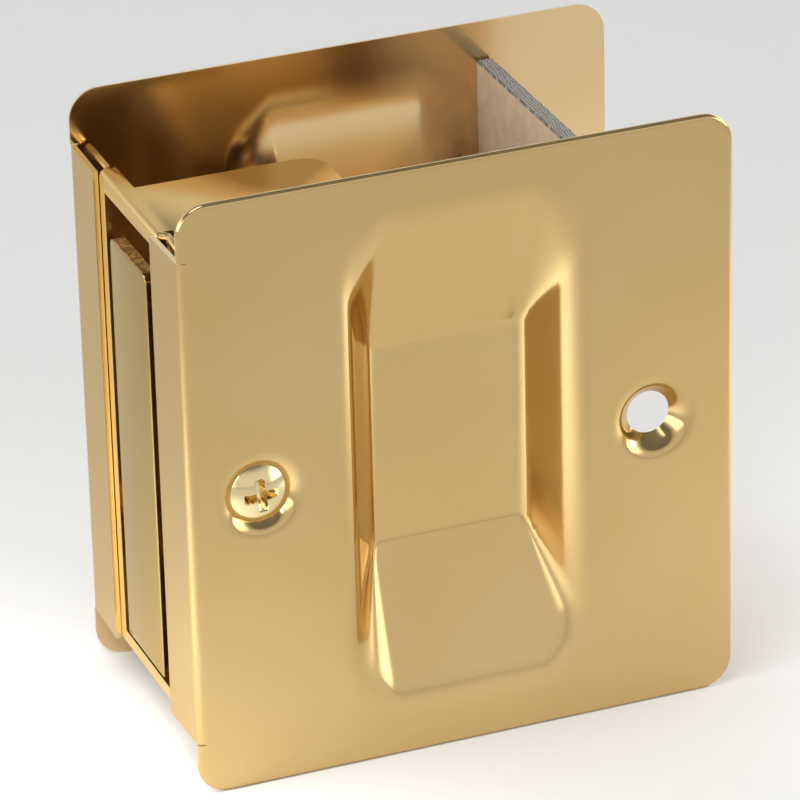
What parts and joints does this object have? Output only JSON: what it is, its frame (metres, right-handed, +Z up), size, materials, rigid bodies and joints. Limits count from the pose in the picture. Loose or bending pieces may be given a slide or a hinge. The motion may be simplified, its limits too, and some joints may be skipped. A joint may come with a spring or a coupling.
{
  "type": "passage door lock",
  "caption": "Pocket-door passage pull: cup plates for both faces of the door, joined round its edge by a folded case with a sprung finger pull.",
  "frame": {"origin": "on the floor under the middle of the set, midway between the two plates; the plates stand on their lower edges at z = 0", "axes": "+Z up along the plates' long side; -X is the door's edge side, where the folded case and its finger pull are; -Y is the front plate's side, so +Y goes through the door's thickness"},
  "size_m": [0.0637, 0.0355, 0.0698],
  "materials": {
    "plate_brass": "satin, fine brushing on the faces, lacquered",
    "case_brass": "bright rolled sheet, sheared edges",
    "pull_brass": "satin face, sheared edges",
    "screw_brass": "polished",
    "post_brass": "as turned",
    "pin_steel": "plain",
    "spring_steel": "drawn wire",
    "chipboard": "dull, grey layered core at the cut edges"
  },
  "bodies": {
    "plate_set": {"front_plate": "plate_brass", "rear_plate": "plate_brass", "edge_case": "case_brass", "pull_pin": "pin_steel", "return_spring": "spring_steel", "front_screw": "screw_brass", "rear_post_left": "post_brass", "rear_post_right": "post_brass", "spacer_board": "chipboard"},
    "edge_pull": {"edge_pull": "pull_brass"}
  },
  "joints": [
    {"name": "edge_pull_hinge", "type": "hinge", "parent": "plate_set", "child": "edge_pull", "pos_m": [-0.02715, 0, 0.01893], "axis": [0, -1, 0], "range_deg": [0, 85], "stiffness_Nm_per_rad": 0.01, "springref_deg": -28.65, "deforming": ["return_spring"]}
  ]
}
